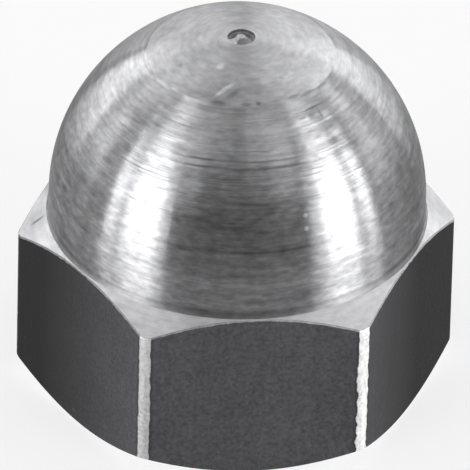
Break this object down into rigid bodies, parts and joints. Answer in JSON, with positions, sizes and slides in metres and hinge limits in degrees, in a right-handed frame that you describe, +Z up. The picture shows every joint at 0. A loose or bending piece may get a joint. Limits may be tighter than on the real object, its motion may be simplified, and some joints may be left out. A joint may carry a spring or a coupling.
{
  "type": "cap nut",
  "caption": "Domed hexagon cap nut with a blind tapped hole: a closed hemispherical dome over a chamfered hexagon.",
  "frame": {"origin": "centre of the bearing face, on the axis of the thread", "axes": "+Z up the axis from the bearing face to the top of the dome; +X through a corner of the hexagon, so two of the flats face +Y and -Y"},
  "size_m": [0.0274, 0.024, 0.0248],
  "materials": {
    "steel": "bright turned steel on the dome, neck, chamfers and bearing face; dark drawn-bar skin on the six flats, rubbed bright at the corners"
  },
  "bodies": {
    "root": {"cap_nut": "steel"}
  },
  "joints": []
}
